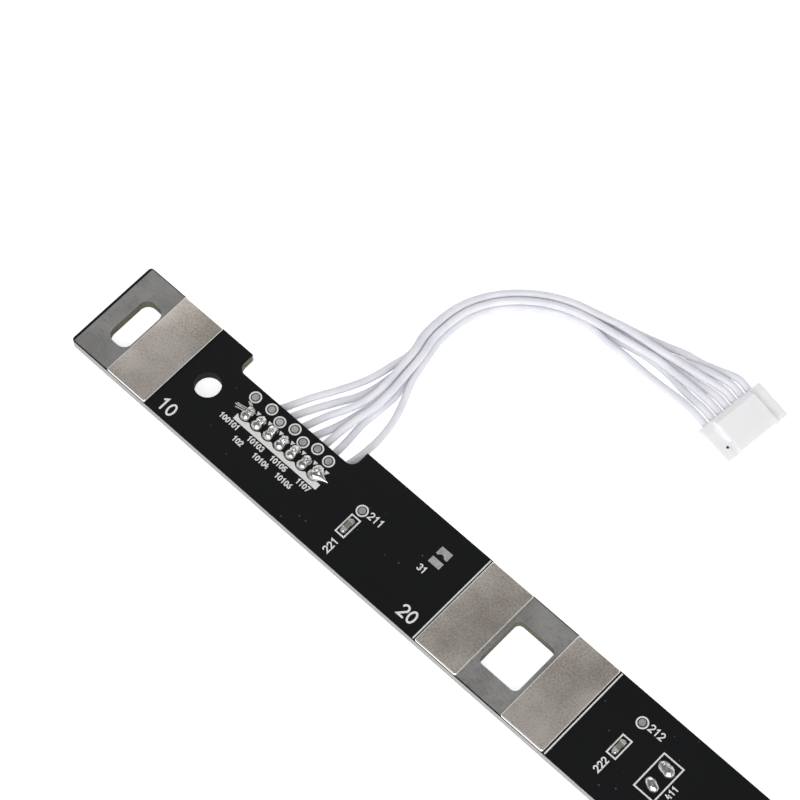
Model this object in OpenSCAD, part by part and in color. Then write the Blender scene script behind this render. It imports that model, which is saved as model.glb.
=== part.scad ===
// Battery management board: a long strip printed circuit for a row of two
// cylindrical cells, with a seven-wire sensing harness and its plug.
// +X runs along the board from tap 0, +Y points to the harness side, and the
// harness lies on the plane z = 0.

/* [Board] */
// Width of the board
board_w = 14.4; // [12:0.1:20]
// Thickness of the board
board_t = 1.6; // [1:0.1:2.4]
// Distance of the first opening's centre from the end of the board
end_margin = 4.5; // [4:0.1:8]
// Radius of the board's outer corners
corner_r = 0.5; // [0.2:0.1:1.5]
// Gap under the board, filled by the thermistor and the wire bends
underside_gap = 1.4; // [1.4:0.1:3]

/* [Cells] */
// Distance between the openings of neighbouring taps
cell_pitch = 66.6; // [64:0.1:76]

/* [Tap openings] */
// Width of the end slots, along the board
slot_w = 3.4; // [2:0.1:3.6]
// Length of the end slots, across the board
slot_l = 7.4; // [4:0.1:10]
// Corner radius of the end slots
slot_r = 1.3; // [0.5:0.1:1.6]
// Width of the square openings, along the board
opening_w = 6.3; // [5:0.1:6.8]
// Length of the square openings, across the board
opening_l = 7.5; // [5:0.1:10]
// Corner radius of the square openings
opening_r = 0.8; // [0.3:0.1:2]

/* [Tap metal] */
// Thickness of the tinned copper lands
land_t = 0.07; // [0.03:0.01:0.15]
// Bare rim left around the middle lands
land_rim = 0.15; // [0.05:0.05:0.5]
// Bare rim left at the ends of the board
land_end_rim = 0.4; // [0.2:0.1:1]
// Width of a nickel plate, along the board
plate_w = 6.9; // [4:0.1:9]
// Thickness of a nickel plate
plate_t = 0.3; // [0.1:0.05:0.5]
// Distance of the plates from the sides of the board
plate_inset = 0.05; // [0.05:0.05:1]
// Distance of a middle plate from the centre of its opening
plate_offset = 3.7; // [3.5:0.1:5]
// Distance of an end plate from the centre of its slot
end_plate_offset = 1.95; // [1.9:0.05:4]

/* [Screw hole] */
// Diameter of the screw hole
screw_hole_d = 3.6; // [2:0.1:4]
// Distance of the screw hole from the end of the board
screw_hole_x = 17.4; // [17:0.1:18]
// Distance of the screw hole from the plain side of the board
screw_hole_y = 7.4; // [5:0.1:9]

/* [Harness notch] */
// Start of the notch, from the end of the board
notch_x = 18.6; // [18:0.1:20]
// Length of the notch
notch_l = 20.3; // [18:0.1:24]
// Depth of the notch
notch_depth = 2.75; // [1.5:0.05:3]
// Radius of the notch's inner corners
notch_r = 1.2; // [0.5:0.1:1.5]

/* [Wire joints] */
// Spacing of the wire holes
joint_pitch = 2; // [1.9:0.05:2.2]
// Place of the first wire hole, from the end of the board
joint_x = 24; // [23.5:0.1:25]
// Distance of the wire holes from the plain side of the board
joint_y = 7.9; // [7:0.1:8.5]
// Diameter of the plated wire holes
wire_hole_d = 0.8; // [0.6:0.05:1]
// Diameter of a solder joint on the board
solder_d = 1.7; // [1.3:0.05:1.9]
// Height of a solder joint above the board
solder_h = 1; // [0.6:0.05:1.5]

/* [Wires] */
// Diameter of the insulation
wire_d = 1; // [0.8:0.05:1]
// Diameter of the tinned strands
core_d = 0.38; // [0.2:0.02:0.5]
// Length of bare strands between the hole and the insulation
strip_l = 1.3; // [1.1:0.1:2]
// Bend radius of the strands under the board
core_bend_r = 0.3; // [0.25:0.05:0.5]
// Height of the wires' centres where they start under the board
wire_start_z = 0.6; // [0.55:0.05:0.8]

/* [Plug] */
// Pitch of the contacts
contact_pitch = 1.25; // [1.2:0.05:1.3]
// Width of the plug beyond the outer contacts, at each end
plug_margin = 1.5; // [1:0.1:3]
// Depth of the plug from the wire side to the mating side
plug_l = 5.5; // [5.2:0.1:8]
// Height of the plug's ends
plug_h = 2.3; // [2:0.1:3]
// Rise of the panel on the middle of the plug
panel_rise = 0.7; // [0.1:0.05:1]
// Width of the raised panel
panel_w = 6.4; // [5:0.1:7]
// Setback of the raised panel from the wire side
panel_setback = 0.9; // [0.3:0.1:1.5]
// Side of the square contact cavities
cavity_s = 0.8; // [0.7:0.05:0.9]
// Clearance of a wire in its plug hole
wire_hole_clear = 0.03; // [0.01:0.01:0.05]
// Depth to which the wires enter the plug
wire_seat = 1; // [0.5:0.1:2]
// Length of a contact inside the plug
contact_l = 4.2; // [2:0.1:4.5]
// Thickness and width of a contact
contact_s = 0.6; // [0.4:0.05:0.65]
// Diameter of the first-contact mark
mark_d = 0.4; // [0.2:0.05:0.6]

/* [Chip resistors] */
// Length of a chip
chip_l = 1.6; // [1:0.1:2]
// Width of a chip
chip_w = 0.8; // [0.5:0.05:1.2]
// Height of a chip
chip_h = 0.45; // [0.3:0.05:0.6]
// Length of the metal cap on each end
cap_l = 0.35; // [0.2:0.05:0.5]
// Wall of the metal caps
cap_wall = 0.04; // [0.02:0.01:0.08]
// Length of the printed frame around a chip
frame_l = 3.2; // [3:0.1:4]
// Width of the printed frame around a chip
frame_w = 1.6; // [1.4:0.1:2.4]

/* [Thermistor] */
// Diameter of the thermistor's bead
bead_d = 1.3; // [0.9:0.1:1.3]
// Length of the bead
bead_l = 3; // [2:0.1:5]
// Diameter of its leads
lead_d = 0.3; // [0.2:0.05:0.4]
// Spacing of its leads
lead_pitch = 2.54; // [2.4:0.01:3]
// Diameter of its solder joints
bead_joint_d = 2.1; // [1.5:0.1:2.3]
// Place of the leads, past the second tap's opening
bead_x = 22.9; // [20:0.1:30]
// Distance of the leads' middle from the plain side of the board
bead_y = 7.35; // [5:0.05:9]

/* [Print and pads] */
// Thickness of the printed ink
ink_t = 0.04; // [0.02:0.01:0.08]
// Width of a printed line
ink_w = 0.2; // [0.15:0.01:0.3]
// Radius of the printed rings, to the middle of the line
ring_r = 0.73; // [0.65:0.01:0.8]
// Radius of the test pads
test_pad_r = 0.48; // [0.3:0.02:0.5]
// Distance of the printed lines from the nickel plates
line_gap = 0.2; // [0.15:0.05:1]

/* [Hidden] */
$fn = 48;
wire_sides = 8;
wire_steps = 2;

cell_count = 2;
wire_count = 7;
board_l = 2 * end_margin + cell_count * cell_pitch;
board_z = underside_gap;
top_z = board_z + board_t;
land_z = top_z + land_t;
notch_y = board_w - notch_depth;
mid_y = board_w / 2;
last_tap = cell_count;
chip_gap_x = 16.85;
chip_y = 7;
first_chip = [44, 5.5];
core_r = core_d / 2;
wire_r = wire_d / 2;
wire_hole_r = wire_hole_d / 2;
plug_w = (wire_count - 1) * contact_pitch + 2 * plug_margin;
plug_at = [66.7, 45.3];
plug_turn = -6;
plug_lean = 10;
plug_run = 2;
bundle_pitch = wire_d + 0.07;
bundle_floor = wire_r + 0.03;
contact_lift = 0.1;
contact_z = plug_h / 2 + contact_lift;
solder_fill = 0.7 * solder_h;
lead_bend_r = 0.3;
lead_reach = 2.2;
lead_z = bead_d / 2;
bead_frame = [3.3, 5.7];
chip_pad_l = 0.7;
mask_black = "#17191b";
tin_grey = "#7c7b78";
solder_grey = "#b9b7b0";

// Test pads along the notch, then one beside the first chip.
harness_pads = [
    [23.1, 10.3], [25.8, 10.5], [27.8, 9.9], [29.9, 10.5],
    [31.9, 9.9], [33.9, 10.5], [36.1, 10.2]
];
first_chip_pad = [43.9, 8.2];
chip_pad_y = 11.2;

// Each wire's centre runs from its joint to the bundle, through its slot in
// the bundle, and on to the plug. Points are measured from the board's corner
// at tap 0 and from the plane that the harness lies on.
wire_from_board = [
    [[25, 10.8, 0.6], [26, 12.8, 0.6], [27.4, 15.8, 0.6], [28.9, 18.5, 0.6],
     [30.2, 20.9, 0.7], [31.3, 23.4, 0.95], [32.1, 26.1, 1.4]],
    [[27, 10.8, 0.6], [27.7, 12.7, 0.58], [29, 15.4, 0.55], [30.4, 17.9, 0.53],
     [31.7, 20.2, 0.53], [32.5, 22.8, 0.53], [32.9, 25.8, 0.53]],
    [[29, 10.8, 0.6], [29.8, 12.7, 0.7], [30.9, 15.3, 1], [32.2, 17.6, 1.4],
     [33.2, 20, 1.75], [33.6, 22.8, 2.15], [33.4, 26, 2.4]],
    [[31, 10.8, 0.6], [31.7, 12.7, 0.6], [32.6, 15.1, 0.53], [33.3, 17.7, 0.53],
     [33.8, 20.4, 0.6], [33.8, 23.2, 0.9], [33.7, 26.2, 1.35]],
    [[33, 10.8, 0.6], [33.4, 12.7, 0.75], [33.7, 15, 1.25], [34.2, 17.4, 1.7],
     [34.8, 19.9, 2.05], [34.9, 22.8, 2.35], [34.6, 26, 2.4]],
    [[34.9, 10.8, 0.6], [35.1, 12.7, 0.6], [35, 15.1, 0.55], [34.8, 17.7, 0.53],
     [35, 20.4, 0.53], [35.1, 23.2, 0.53], [34.6, 26.3, 0.53]],
    [[37, 10.8, 0.6], [37.5, 12.9, 0.6], [37.8, 15.4, 0.6], [37.8, 18, 0.6],
     [37.4, 20.6, 0.6], [36.6, 23.2, 0.85], [35.5, 26, 1.3]]
];
bundle_line = [
    [33.7, 29.2], [33.1, 32], [33.1, 35], [33.6, 38], [35, 41],
    [37.2, 43.7], [40.1, 46], [43.3, 47.6], [46.6, 48.5]
];
// Place of each wire in the bundle, in wire spacings to the left of its
// middle line and in rows above the floor: two wires, then three, then two.
bundle_slot = [[1, 1], [0.5, 0], [0.5, 2], [0, 1], [-0.5, 2], [-0.5, 0], [-1, 1]];
wire_to_plug = [
    [[49.3, 50.35, 1.42], [52.4, 51.1, 1.4], [55.5, 52, 1.4], [58.6, 53, 1.4],
     [61.2, 53.4, 1.6], [63.5, 53.9, 2.1]],
    [[49.4, 49.75, 0.53], [52.4, 50.5, 0.53], [55.4, 51.2, 0.6], [58.4, 51.8, 1.2],
     [61, 52.3, 2.1], [63.5, 52.8, 2.6]],
    [[49.4, 49.85, 2.4], [52.4, 50.3, 2.45], [55.4, 50.6, 2.45], [58.3, 51, 2.45],
     [61, 51.3, 2.55], [63.5, 51.7, 2.6]],
    [[49.6, 49.2, 1.48], [52.4, 49.9, 1.4], [55.3, 50.4, 1.35], [58.3, 50.5, 1.4],
     [61.2, 50.6, 1.7], [63.4, 50.65, 2.2]],
    [[49.8, 48.5, 2.3], [53, 49.1, 2.15], [56.2, 49.6, 2.1], [59.4, 49.65, 2.15],
     [62, 49.65, 2.3], [63.8, 49.55, 2.5]],
    [[49.7, 48.5, 0.53], [52.7, 49.3, 0.53], [55.7, 49.6, 0.7], [58.8, 49.4, 1],
     [61.5, 48.8, 1.6], [63.6, 48.4, 2.2]],
    [[49.8, 47.5, 1.2], [53, 47.7, 0.9], [56, 47.6, 0.9], [59, 47.5, 1.2],
     [61.6, 47.4, 1.8], [63.5, 47.2, 2.3]]
];
wire_heading = 73;

// ---- Places ----

function tap_x(k) = end_margin + k * cell_pitch;
function tap_is_end(k) = k == 0 || k == last_tap;
function joint_at(i) = [joint_x + (i - 1) * joint_pitch, joint_y];
function chip_at(k) = k == 1 ? first_chip : [tap_x(k - 1) + chip_gap_x, chip_y];
function bead_at() = [tap_x(1) + bead_x, bead_y];
function plug_axis() = [cos(plug_turn), sin(plug_turn)];
function plug_side() = [-sin(plug_turn), cos(plug_turn)];

// A place in the plug's own frame, with the plug leaning on the lower edge
// of its mating side because the stiff wires hold up its wire side.
function in_plug(x, y, z) =
    let (reach = plug_l + (x - plug_l) * cos(plug_lean) + z * sin(plug_lean),
         height = (plug_l - x) * sin(plug_lean) + z * cos(plug_lean))
    [each plug_at + reach * plug_axis() + y * plug_side(), height];

function contact_y(i) = plug_margin + (wire_count - i) * contact_pitch;

// ---- Shapes ----

// Puts its children in the frame of the board's corner at tap 0.
module from_corner() {
    translate([-board_l / 2, -mid_y, 0]) children();
}

module rounded_rect(size_x, size_y, r) {
    translate([r - size_x / 2, -size_y / 2]) square([size_x - 2 * r, size_y]);
    translate([-size_x / 2, r - size_y / 2]) square([size_x, size_y - 2 * r]);
    for (sx = [-1, 1], sy = [-1, 1])
        translate([sx * (size_x / 2 - r), sy * (size_y / 2 - r)]) circle(r = r);
}

module tap_opening(k) {
    translate([tap_x(k), mid_y])
        if (tap_is_end(k))
            rounded_rect(slot_w, slot_l, slot_r);
        else
            rounded_rect(opening_w, opening_l, opening_r);
}

module notch() {
    translate([notch_x, notch_y + notch_r])
        square([notch_l, notch_depth - notch_r + 1]);
    translate([notch_x + notch_r, notch_y])
        square([notch_l - 2 * notch_r, notch_depth]);
    for (x = [notch_x + notch_r, notch_x + notch_l - notch_r])
        translate([x, notch_y + notch_r]) circle(r = notch_r);
}

module board_outline() {
    difference() {
        translate([board_l / 2, mid_y]) rounded_rect(board_l, board_w, corner_r);
        notch();
        for (k = [0:last_tap]) tap_opening(k);
    }
}

// A thin sheet of print, copper or strip on top of the board.
module sheet(z, thickness) {
    from_corner() translate([0, 0, z]) linear_extrude(thickness) children();
}

// ---- Board ----

module circuit_board() {
    color(mask_black) from_corner() difference() {
        translate([0, 0, board_z]) linear_extrude(board_t) board_outline();
        translate([screw_hole_x, screw_hole_y, board_z - 1])
            cylinder(h = board_t + 2, d = screw_hole_d);
        for (i = [1:wire_count])
            translate([each joint_at(i), board_z - 1])
                cylinder(h = board_t + 2, r = wire_hole_r, $fn = 24);
        for (s = [-1, 1])
            translate([each bead_at() + [0, s * lead_pitch / 2], board_z - 1])
                cylinder(h = board_t + 2, r = wire_hole_r, $fn = 24);
    }
}

// Ends of a land along the board: an end land stops at the board's rim, and
// all of them run under their nickel plates.
function land_from(k) =
    k == 0 ? land_end_rim
    : k == last_tap ? tap_x(k) - end_plate_offset - plate_w + land_rim
    : tap_x(k) - plate_offset - plate_w + land_rim;
function land_to(k) =
    k == last_tap ? board_l - land_end_rim
    : k == 0 ? tap_x(k) + end_plate_offset + plate_w - land_rim
    : tap_x(k) + plate_offset + plate_w - land_rim;

module tap_land(k) {
    color(tin_grey) sheet(top_z, land_t) difference() {
        translate([land_from(k), land_rim])
            square([land_to(k) - land_from(k), board_w - 2 * land_rim]);
        tap_opening(k);
    }
}

// The plate's first edge lies at from_x, on a land.
module nickel_plate(from_x) {
    color("#93897f") sheet(land_z, plate_t)
        translate([from_x + plate_w / 2, mid_y])
            rounded_rect(plate_w, board_w - 2 * plate_inset, plate_t);
}

module plate_before(k) {
    offset_x = tap_is_end(k) ? end_plate_offset : plate_offset;
    nickel_plate(tap_x(k) - offset_x - plate_w);
}

module plate_after(k) {
    offset_x = tap_is_end(k) ? end_plate_offset : plate_offset;
    nickel_plate(tap_x(k) + offset_x);
}

// ---- Pads and print ----

function all_test_pads() = [
    each harness_pads,
    first_chip_pad,
    for (k = [2:cell_count]) [chip_at(k)[0], chip_pad_y]
];

module test_pads() {
    color(tin_grey) sheet(top_z, land_t)
        for (p = all_test_pads()) translate(p) circle(r = test_pad_r, $fn = 32);
}

jumper_at = [54.5, 8.9];
jumper_w = 1.8;
jumper_lower_h = 0.95;
jumper_upper_y = 1.45;
jumper_upper_h = 1.2;
jumper_bite_at = [0.85, 1.3];
jumper_bite_r = 0.5;

// Two solder pads, bridged by hand if needed. One has a round bite.
module jumper_pads() {
    color(tin_grey) sheet(top_z, land_t) translate(jumper_at) {
        square([jumper_w, jumper_lower_h]);
        difference() {
            translate([0, jumper_upper_y]) square([jumper_w, jumper_upper_h]);
            translate(jumper_bite_at) circle(r = jumper_bite_r, $fn = 24);
        }
    }
}

module chip_pads() {
    color(tin_grey) sheet(top_z, land_t)
        for (k = [1:cell_count], s = [-1, 1])
            translate(chip_at(k) + [-chip_w / 2, s * (chip_l - cap_l) / 2 - chip_pad_l / 2])
                square([chip_w, chip_pad_l]);
}

module frame_2d(size_x, size_y) {
    difference() {
        square([size_x, size_y], center = true);
        square([size_x - 2 * ink_w, size_y - 2 * ink_w], center = true);
    }
}

block_before = 0.95;
block_after = 1.6;
block_drop = 1.65;
block_h = 0.9;
scallop_gap = 0.3;
wedge = [[-0.3, 1.2], [0.35, 1.2], [0, 0.65]];

// White block around the wire joints: a strip with a scallop at each joint,
// and a small wedge beside each joint on the other side.
module joint_block_2d() {
    difference() {
        translate(joint_at(1) - [block_before, block_drop])
            square([block_before + (wire_count - 1) * joint_pitch + block_after, block_h]);
        for (i = [1:wire_count])
            translate(joint_at(i)) circle(r = solder_d / 2 + scallop_gap);
    }
    for (i = [1:wire_count])
        translate(joint_at(i) + [joint_pitch / 2, 0]) polygon(wedge);
}

module silkscreen() {
    color("#e8e8e4") sheet(top_z, ink_t) {
        joint_block_2d();
        for (p = all_test_pads()) translate(p) difference() {
            circle(r = ring_r + ink_w / 2);
            circle(r = ring_r - ink_w / 2);
        }
        for (k = [1:cell_count]) translate(chip_at(k)) frame_2d(frame_w, frame_l);
        translate(bead_at()) frame_2d(bead_frame[0], bead_frame[1]);
        for (k = [1:cell_count]) {
            offset_x = tap_is_end(k) ? end_plate_offset : plate_offset;
            translate([tap_x(k) - offset_x - plate_w - line_gap - ink_w, land_rim])
                square([ink_w, board_w - 2 * land_rim]);
        }
        for (k = [1:cell_count - 1])
            translate([tap_x(k) + plate_offset + plate_w + line_gap, land_rim])
                square([ink_w, board_w - 2 * land_rim]);
    }
}

// ---- Chip resistors ----

chip_z = land_z;

module chip_box(wall) {
    translate([-chip_w / 2 + wall, -chip_l / 2 + wall, wall])
        cube([chip_w - 2 * wall, chip_l - 2 * wall, chip_h - 2 * wall]);
}

module resistor_body(k) {
    color("#1c1c1e") from_corner() translate([each chip_at(k), chip_z])
        chip_box(cap_wall);
}

module resistor_caps(k) {
    color("#c9c6bf") from_corner() translate([each chip_at(k), chip_z])
        difference() {
            chip_box(0);
            chip_box(cap_wall);
            translate([-chip_w, cap_l - chip_l / 2, -1])
                cube([2 * chip_w, chip_l - 2 * cap_l, chip_h + 2]);
        }
}

// ---- Wire joints ----

// Domed solder over a plated hole, with a bore for what it holds.
module solder_joint(d, bore_d) {
    dome_r = (pow(d / 2, 2) + pow(solder_h, 2)) / (2 * solder_h);
    difference() {
        union() {
            translate([0, 0, top_z]) intersection() {
                translate([0, 0, solder_h - dome_r]) sphere(r = dome_r);
                cylinder(h = solder_h + 1, d = d);
            }
            translate([0, 0, board_z]) cylinder(h = board_t, r = wire_hole_r, $fn = 24);
        }
        translate([0, 0, board_z - 1])
            cylinder(h = board_t + 1 + solder_fill, d = bore_d, $fn = 24);
    }
}

module wire_joint(i) {
    color(solder_grey) from_corner() translate(joint_at(i))
        solder_joint(solder_d, core_d);
}

// A round bar that stands up in a joint, bends under the board and runs
// level along +X of its own frame.
module bent_bar(r, bend_r, level_z, level_l, top) {
    translate([0, 0, level_z + bend_r])
        cylinder(h = top - level_z - bend_r, r = r, $fn = 24);
    translate([bend_r, 0, level_z + bend_r]) rotate([90, 0, 0]) rotate([0, 0, 180])
        rotate_extrude(angle = 90) translate([bend_r, 0]) circle(r = r, $fn = 24);
    translate([bend_r, 0, level_z]) rotate([0, 90, 0])
        cylinder(h = level_l - bend_r, r = r, $fn = 24);
}

module wire_core(i) {
    color("#c8c4ba") from_corner() translate(joint_at(i)) rotate([0, 0, wire_heading])
        bent_bar(core_r, core_bend_r, wire_start_z, strip_l, top_z + solder_fill);
}

// ---- Wires ----

function spline_at(p, k, t) =
    let (a = p[max(k - 1, 0)], b = p[k], c = p[k + 1], d = p[min(k + 2, len(p) - 1)])
    0.5 * (2 * b + (c - a) * t + (2 * a - 5 * b + 4 * c - d) * t * t
        + (3 * b - a - 3 * c + d) * t * t * t);

function spline(p, steps) = [
    for (k = [0:len(p) - 2], s = [0:steps - 1]) spline_at(p, k, s / steps),
    p[len(p) - 1]
];

function unit(v) = v / norm(v);

function wire_start(i) = [
    each joint_at(i) + strip_l * [cos(wire_heading), sin(wire_heading)], wire_start_z
];

function bundle_point(i, k) =
    let (last = len(bundle_line) - 1,
         ahead = unit(bundle_line[min(k + 1, last)] - bundle_line[max(k - 1, 0)]),
         left = [-ahead[1], ahead[0]],
         slot = bundle_slot[i - 1])
    [each bundle_line[k] + slot[0] * bundle_pitch * left,
        bundle_floor + slot[1] * bundle_pitch * sin(60)];

function wire_path(i) = spline([
    wire_start(i), each wire_from_board[i - 1],
    for (k = [0:len(bundle_line) - 1]) bundle_point(i, k),
    each wire_to_plug[i - 1],
    for (x = [-plug_run, 0, wire_seat]) in_plug(x, contact_y(i), contact_z)
], wire_steps);

function ring_at(path, k, r) =
    let (n = len(path),
         ahead = unit(path[min(k + 1, n - 1)] - path[max(k - 1, 0)]),
         side = unit(cross(ahead, [0, 0, 1])),
         up = cross(side, ahead))
    [for (j = [0:wire_sides - 1])
        let (a = 360 * j / wire_sides)
        path[k] + r * (cos(a) * side + sin(a) * up)];

module tube_along(path, r) {
    n = len(path);
    polyhedron(
        points = [for (k = [0:n - 1]) each ring_at(path, k, r)],
        faces = [
            [for (j = [0:wire_sides - 1]) j],
            [for (j = [wire_sides - 1:-1:0]) (n - 1) * wire_sides + j],
            for (k = [0:n - 2], j = [0:wire_sides - 1])
                let (a = k * wire_sides, b = (j + 1) % wire_sides)
                [a + b, a + j, a + wire_sides + j, a + wire_sides + b]
        ],
        convexity = 6
    );
}

module wire(i) {
    color("#d9d9e2") from_corner() tube_along(wire_path(i), wire_r);
}

// ---- Thermistor ----

module thermistor_frame() {
    from_corner() translate([each bead_at(), 0]) children();
}

// The bead lies flat under the board, beside its holes.
module thermistor_bead() {
    color("#1b1b1d") thermistor_frame() translate([-lead_reach, 0, lead_z])
        rotate([0, -90, 0]) rotate_extrude() {
            translate([0, bead_d / 2]) square([bead_d / 2, bead_l - bead_d / 2]);
            intersection() {
                translate([0, bead_d / 2]) circle(d = bead_d);
                square([bead_d, bead_d]);
            }
        }
}

module thermistor_leads() {
    color("#c8c4ba") thermistor_frame() for (s = [-1, 1])
        translate([0, s * lead_pitch / 2, 0]) rotate([0, 0, 180])
            bent_bar(lead_d / 2, lead_bend_r, lead_z, lead_reach, top_z + solder_fill);
}

module thermistor_joints() {
    color(solder_grey) thermistor_frame() for (s = [-1, 1])
        translate([0, s * lead_pitch / 2, 0])
            solder_joint(bead_joint_d, lead_d);
}

// ---- Plug ----

module plug_frame() {
    from_corner() translate(plug_at) rotate([0, 0, plug_turn])
        translate([plug_l, 0, 0]) rotate([0, plug_lean, 0]) translate([-plug_l, 0, 0])
            children();
}

panel_y = 2.8;
step_x = 3.7;
step_w = 0.6;
step_drop = 0.5;
mark_at = [4, 1.4];
mark_depth = 0.3;

module plug_housing() {
    color("#ecebe6") plug_frame() difference() {
        union() {
            cube([plug_l, plug_w, plug_h]);
            translate([panel_setback, panel_y, 0])
                cube([plug_l - panel_setback, panel_w, plug_h + panel_rise]);
        }
        for (i = [1:wire_count]) translate([0, contact_y(i), contact_z]) {
            rotate([0, 90, 0]) translate([0, 0, -1])
                cylinder(h = wire_seat + 1, r = wire_r + wire_hole_clear, $fn = 32);
            translate([wire_seat, -cavity_s / 2, -cavity_s / 2])
                cube([plug_l, cavity_s, cavity_s]);
        }
        translate([step_x, panel_y - step_w, plug_h - step_drop])
            cube([plug_l, step_w, step_drop + 1]);
        translate([each mark_at, plug_h - mark_depth])
            cylinder(h = 1, d = mark_d, $fn = 24);
    }
}

// The contacts stand on the floor of their cavities, against the wires.
module plug_contacts() {
    color("#b9a06a") plug_frame() for (i = [1:wire_count])
        translate([wire_seat, contact_y(i) - contact_s / 2, contact_z - cavity_s / 2])
            cube([contact_l, contact_s, contact_s]);
}

// ---- Whole part ----

circuit_board();
for (k = [0:last_tap])
    tap_land(k);
plate_after(0);  // nickel_plate_0
for (k = [1:last_tap - 1]) {
    plate_before(k);
    plate_after(k);
}
plate_before(last_tap);
test_pads();
jumper_pads();
chip_pads();
silkscreen();
for (k = [1:cell_count]) {
    resistor_body(k);
    resistor_caps(k);
}
for (i = [1:wire_count]) {
    wire_joint(i);
    wire_core(i);
    wire(i);
}
thermistor_bead();
thermistor_leads();
thermistor_joints();
plug_housing();
plug_contacts();
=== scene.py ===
# %% [markdown]
# # A battery management board
#
# This lesson dresses a strip circuit board for a row of battery cells. The
# solid model comes in as a fixed frame: its sizes are real and stay as they
# are. What is added here is what the eye reads as real: solder that has
# flowed, nickel with a rolled edge, soft white wires and dust on black mask.
#
# The board lies on a table. X runs along it, Y points to the wires, and Z is
# up. Blender counts in metres, but board makers count in millimetres from a
# corner, so most numbers below are millimetres from the board's corner.

# %% Load the frame and measure it
import math
import random

import bmesh
import bpy
from mathutils import Matrix, Vector, noise


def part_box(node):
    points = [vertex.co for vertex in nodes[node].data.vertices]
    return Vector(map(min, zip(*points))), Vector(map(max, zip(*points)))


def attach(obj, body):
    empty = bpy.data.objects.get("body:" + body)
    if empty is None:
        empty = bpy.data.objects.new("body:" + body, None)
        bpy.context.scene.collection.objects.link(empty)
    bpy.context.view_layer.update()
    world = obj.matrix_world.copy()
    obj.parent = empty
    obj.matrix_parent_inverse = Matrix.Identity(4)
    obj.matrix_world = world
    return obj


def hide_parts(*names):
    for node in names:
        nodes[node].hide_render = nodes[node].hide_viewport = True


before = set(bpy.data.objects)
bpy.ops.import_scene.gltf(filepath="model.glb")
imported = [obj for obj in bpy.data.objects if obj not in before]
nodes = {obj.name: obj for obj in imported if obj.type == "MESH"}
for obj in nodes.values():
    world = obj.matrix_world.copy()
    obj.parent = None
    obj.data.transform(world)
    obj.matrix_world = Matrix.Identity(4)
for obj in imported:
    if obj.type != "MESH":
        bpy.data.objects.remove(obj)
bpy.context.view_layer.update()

# %% Board millimetres to frame metres
MM = 0.001
BOARD_LENGTH = 142.2
BOARD_WIDTH = 14.4
TOP = 3.0
TO_FRAME = Matrix.Scale(MM, 4) @ Matrix.Translation((-BOARD_LENGTH / 2, -BOARD_WIDTH / 2, 0))
print("the board's corner in the frame:", [round(v, 4) for v in TO_FRAME @ Vector((0, 0, TOP))])

# %% [markdown]
# ## The camera
#
# A flat thing shows best from well above, and a long lens keeps the strip's
# width nearly the same from one end to the other. The camera could be aimed
# with a Track To constraint, but its roll matters here, so two of its axes
# are given, the third follows, and all are made square to one another.

# %% Set up the camera
CAMERA_AT = Vector((0.0892, -0.1085, 0.3633))
LOOK_AHEAD = Vector((-0.3085, 0.3093, -0.8995)).normalized()
LOOK_UP = Vector((-0.6157, 0.6559, 0.4367))

look_right = LOOK_AHEAD.cross(LOOK_UP).normalized()
look_up = look_right.cross(LOOK_AHEAD)
camera = bpy.data.objects.new("camera", bpy.data.cameras.new("camera"))
bpy.context.scene.collection.objects.link(camera)
camera.matrix_world = Matrix.Translation(CAMERA_AT) @ Matrix(
    (look_right, look_up, -LOOK_AHEAD)
).transposed().to_4x4()
camera.data.sensor_width = 36
camera.data.lens = 141.96
camera.data.clip_start = 0.01
camera.data.clip_end = 20
bpy.context.scene.camera = camera
print("camera height:", round(CAMERA_AT.z * 1000), "mm")

# %% [markdown]
# ## Colours and nodes
#
# Colours are given in sRGB, as on any screen, and Blender mixes light in
# linear numbers, so one function turns the first into the second. A second
# small function adds a node, sets it and links it. All finishes use both. The
# simplest finishes have one grain that both tints and roughens, so a third
# function makes such a finish whole.

# %% Colour and node helpers
def linear(hex_colour):
    """An sRGB hex colour as linear red, green, blue and full alpha."""
    parts = [int(hex_colour[i : i + 2], 16) / 255 for i in (1, 3, 5)]
    return [p / 12.92 if p <= 0.04045 else ((p + 0.055) / 1.055) ** 2.4 for p in parts] + [1]


def add_node(tree, kind, values=None, links=None):
    """Adds a node. A value goes to the socket of that name or number, else to the property."""
    node = tree.nodes.new("ShaderNode" + kind)
    for key, value in (values or {}).items():
        if isinstance(key, int) or key in node.inputs:
            node.inputs[key].default_value = value
        else:
            setattr(node, key, value)
    for key, source in (links or {}).items():
        tree.links.new(source, node.inputs[key])
    return node


def start_finish(name, values):
    """A material with a Principled shader, and the object's own coordinates to draw with."""
    finish = bpy.data.materials.new(name)
    finish.use_nodes = True
    tree = finish.node_tree
    tree.nodes.clear()
    shader = add_node(tree, "BsdfPrincipled", values)
    add_node(tree, "OutputMaterial", links={"Surface": shader.outputs["BSDF"]})
    place = add_node(tree, "TexCoord")
    return finish, tree, shader, place


def per(millimetres):
    """The texture scale at which one cell of a pattern is that many millimetres."""
    return 1 / (millimetres * MM)


print("mid grey is", round(linear("#808080")[0], 3), "in linear light")


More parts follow.
